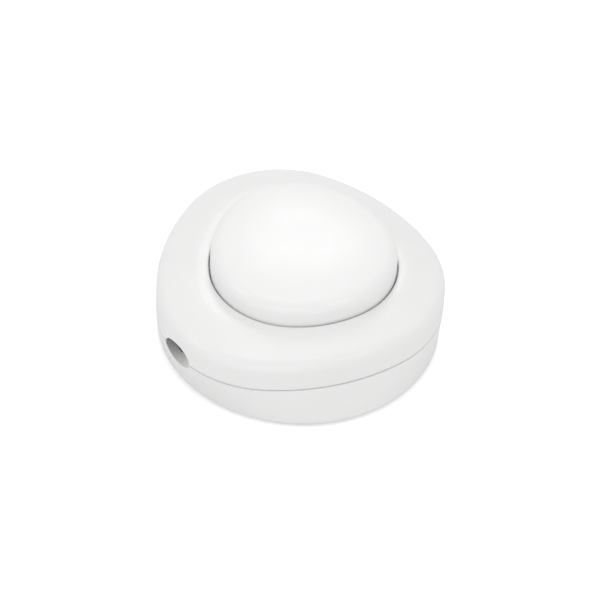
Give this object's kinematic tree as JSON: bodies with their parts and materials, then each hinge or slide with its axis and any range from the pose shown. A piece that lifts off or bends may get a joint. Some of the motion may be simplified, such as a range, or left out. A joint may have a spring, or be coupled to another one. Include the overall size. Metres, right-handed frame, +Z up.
{
  "type": "push on push off lamp switch",
  "caption": "In-line foot switch for a lamp cord: rounded triangular two-part housing with a large domed push button and cord inlets on the parting line.",
  "frame": {"origin": "centre of the underside, on the surface the switch stands on and on the button's axis", "axes": "+Z up along the button's travel, +X towards one rounded corner of the housing, +Y along the lamp cord's passage"},
  "size_m": [0.063, 0.0638, 0.0269],
  "materials": {
    "housing_white": "moulded satin white",
    "button_white": "moulded satin white",
    "frame_black": "moulded matt black",
    "cap_natural": "moulded natural",
    "rotor_grey": "moulded acetal grey",
    "plunger_natural": "moulded natural acetal",
    "brass": "stamped brass",
    "silver": "silver contact faces",
    "steel": "zinc plated steel",
    "rubber": "soft grey rubber"
  },
  "bodies": {
    "housing": {"base_shell": "housing_white", "top_cover": "housing_white", "button_spring": "steel", "switch_frame": "frame_black", "guide_cap": "cap_natural", "rotor_clip": "steel", "live_in_contact": "brass", "live_out_contact": "brass", "contact_rivets": "silver", "live_in_terminal": "brass", "live_out_terminal": "brass", "neutral_terminal": "brass", "terminal_screws": "steel", "cord_clamp_front": "cap_natural", "cord_clamp_back": "cap_natural", "clamp_screws": "steel", "frame_screws": "steel", "housing_screws": "steel", "rubber_feet": "rubber"},
    "button": {"push_button": "button_white", "drive_plunger": "plunger_natural"},
    "rotor": {"ratchet_rotor": "rotor_grey", "contact_bridge": "brass"}
  },
  "joints": [
    {"name": "button_press", "type": "slide", "parent": "housing", "child": "button", "axis": [0, 0, -1], "range_m": [0, 0.0035], "stiffness_N_per_m": 1000, "springref_m": -0.004, "deforming": ["button_spring"]},
    {"name": "rotor_index", "type": "hinge", "parent": "housing", "child": "rotor", "pos_m": [0, 0, 0.007], "axis": [0, 0, 1], "range_deg": [0, 45]}
  ],
  "couplings": [
    {"joint": "rotor_index", "follows": "button_press", "rad_per_m": 224.4}
  ]
}
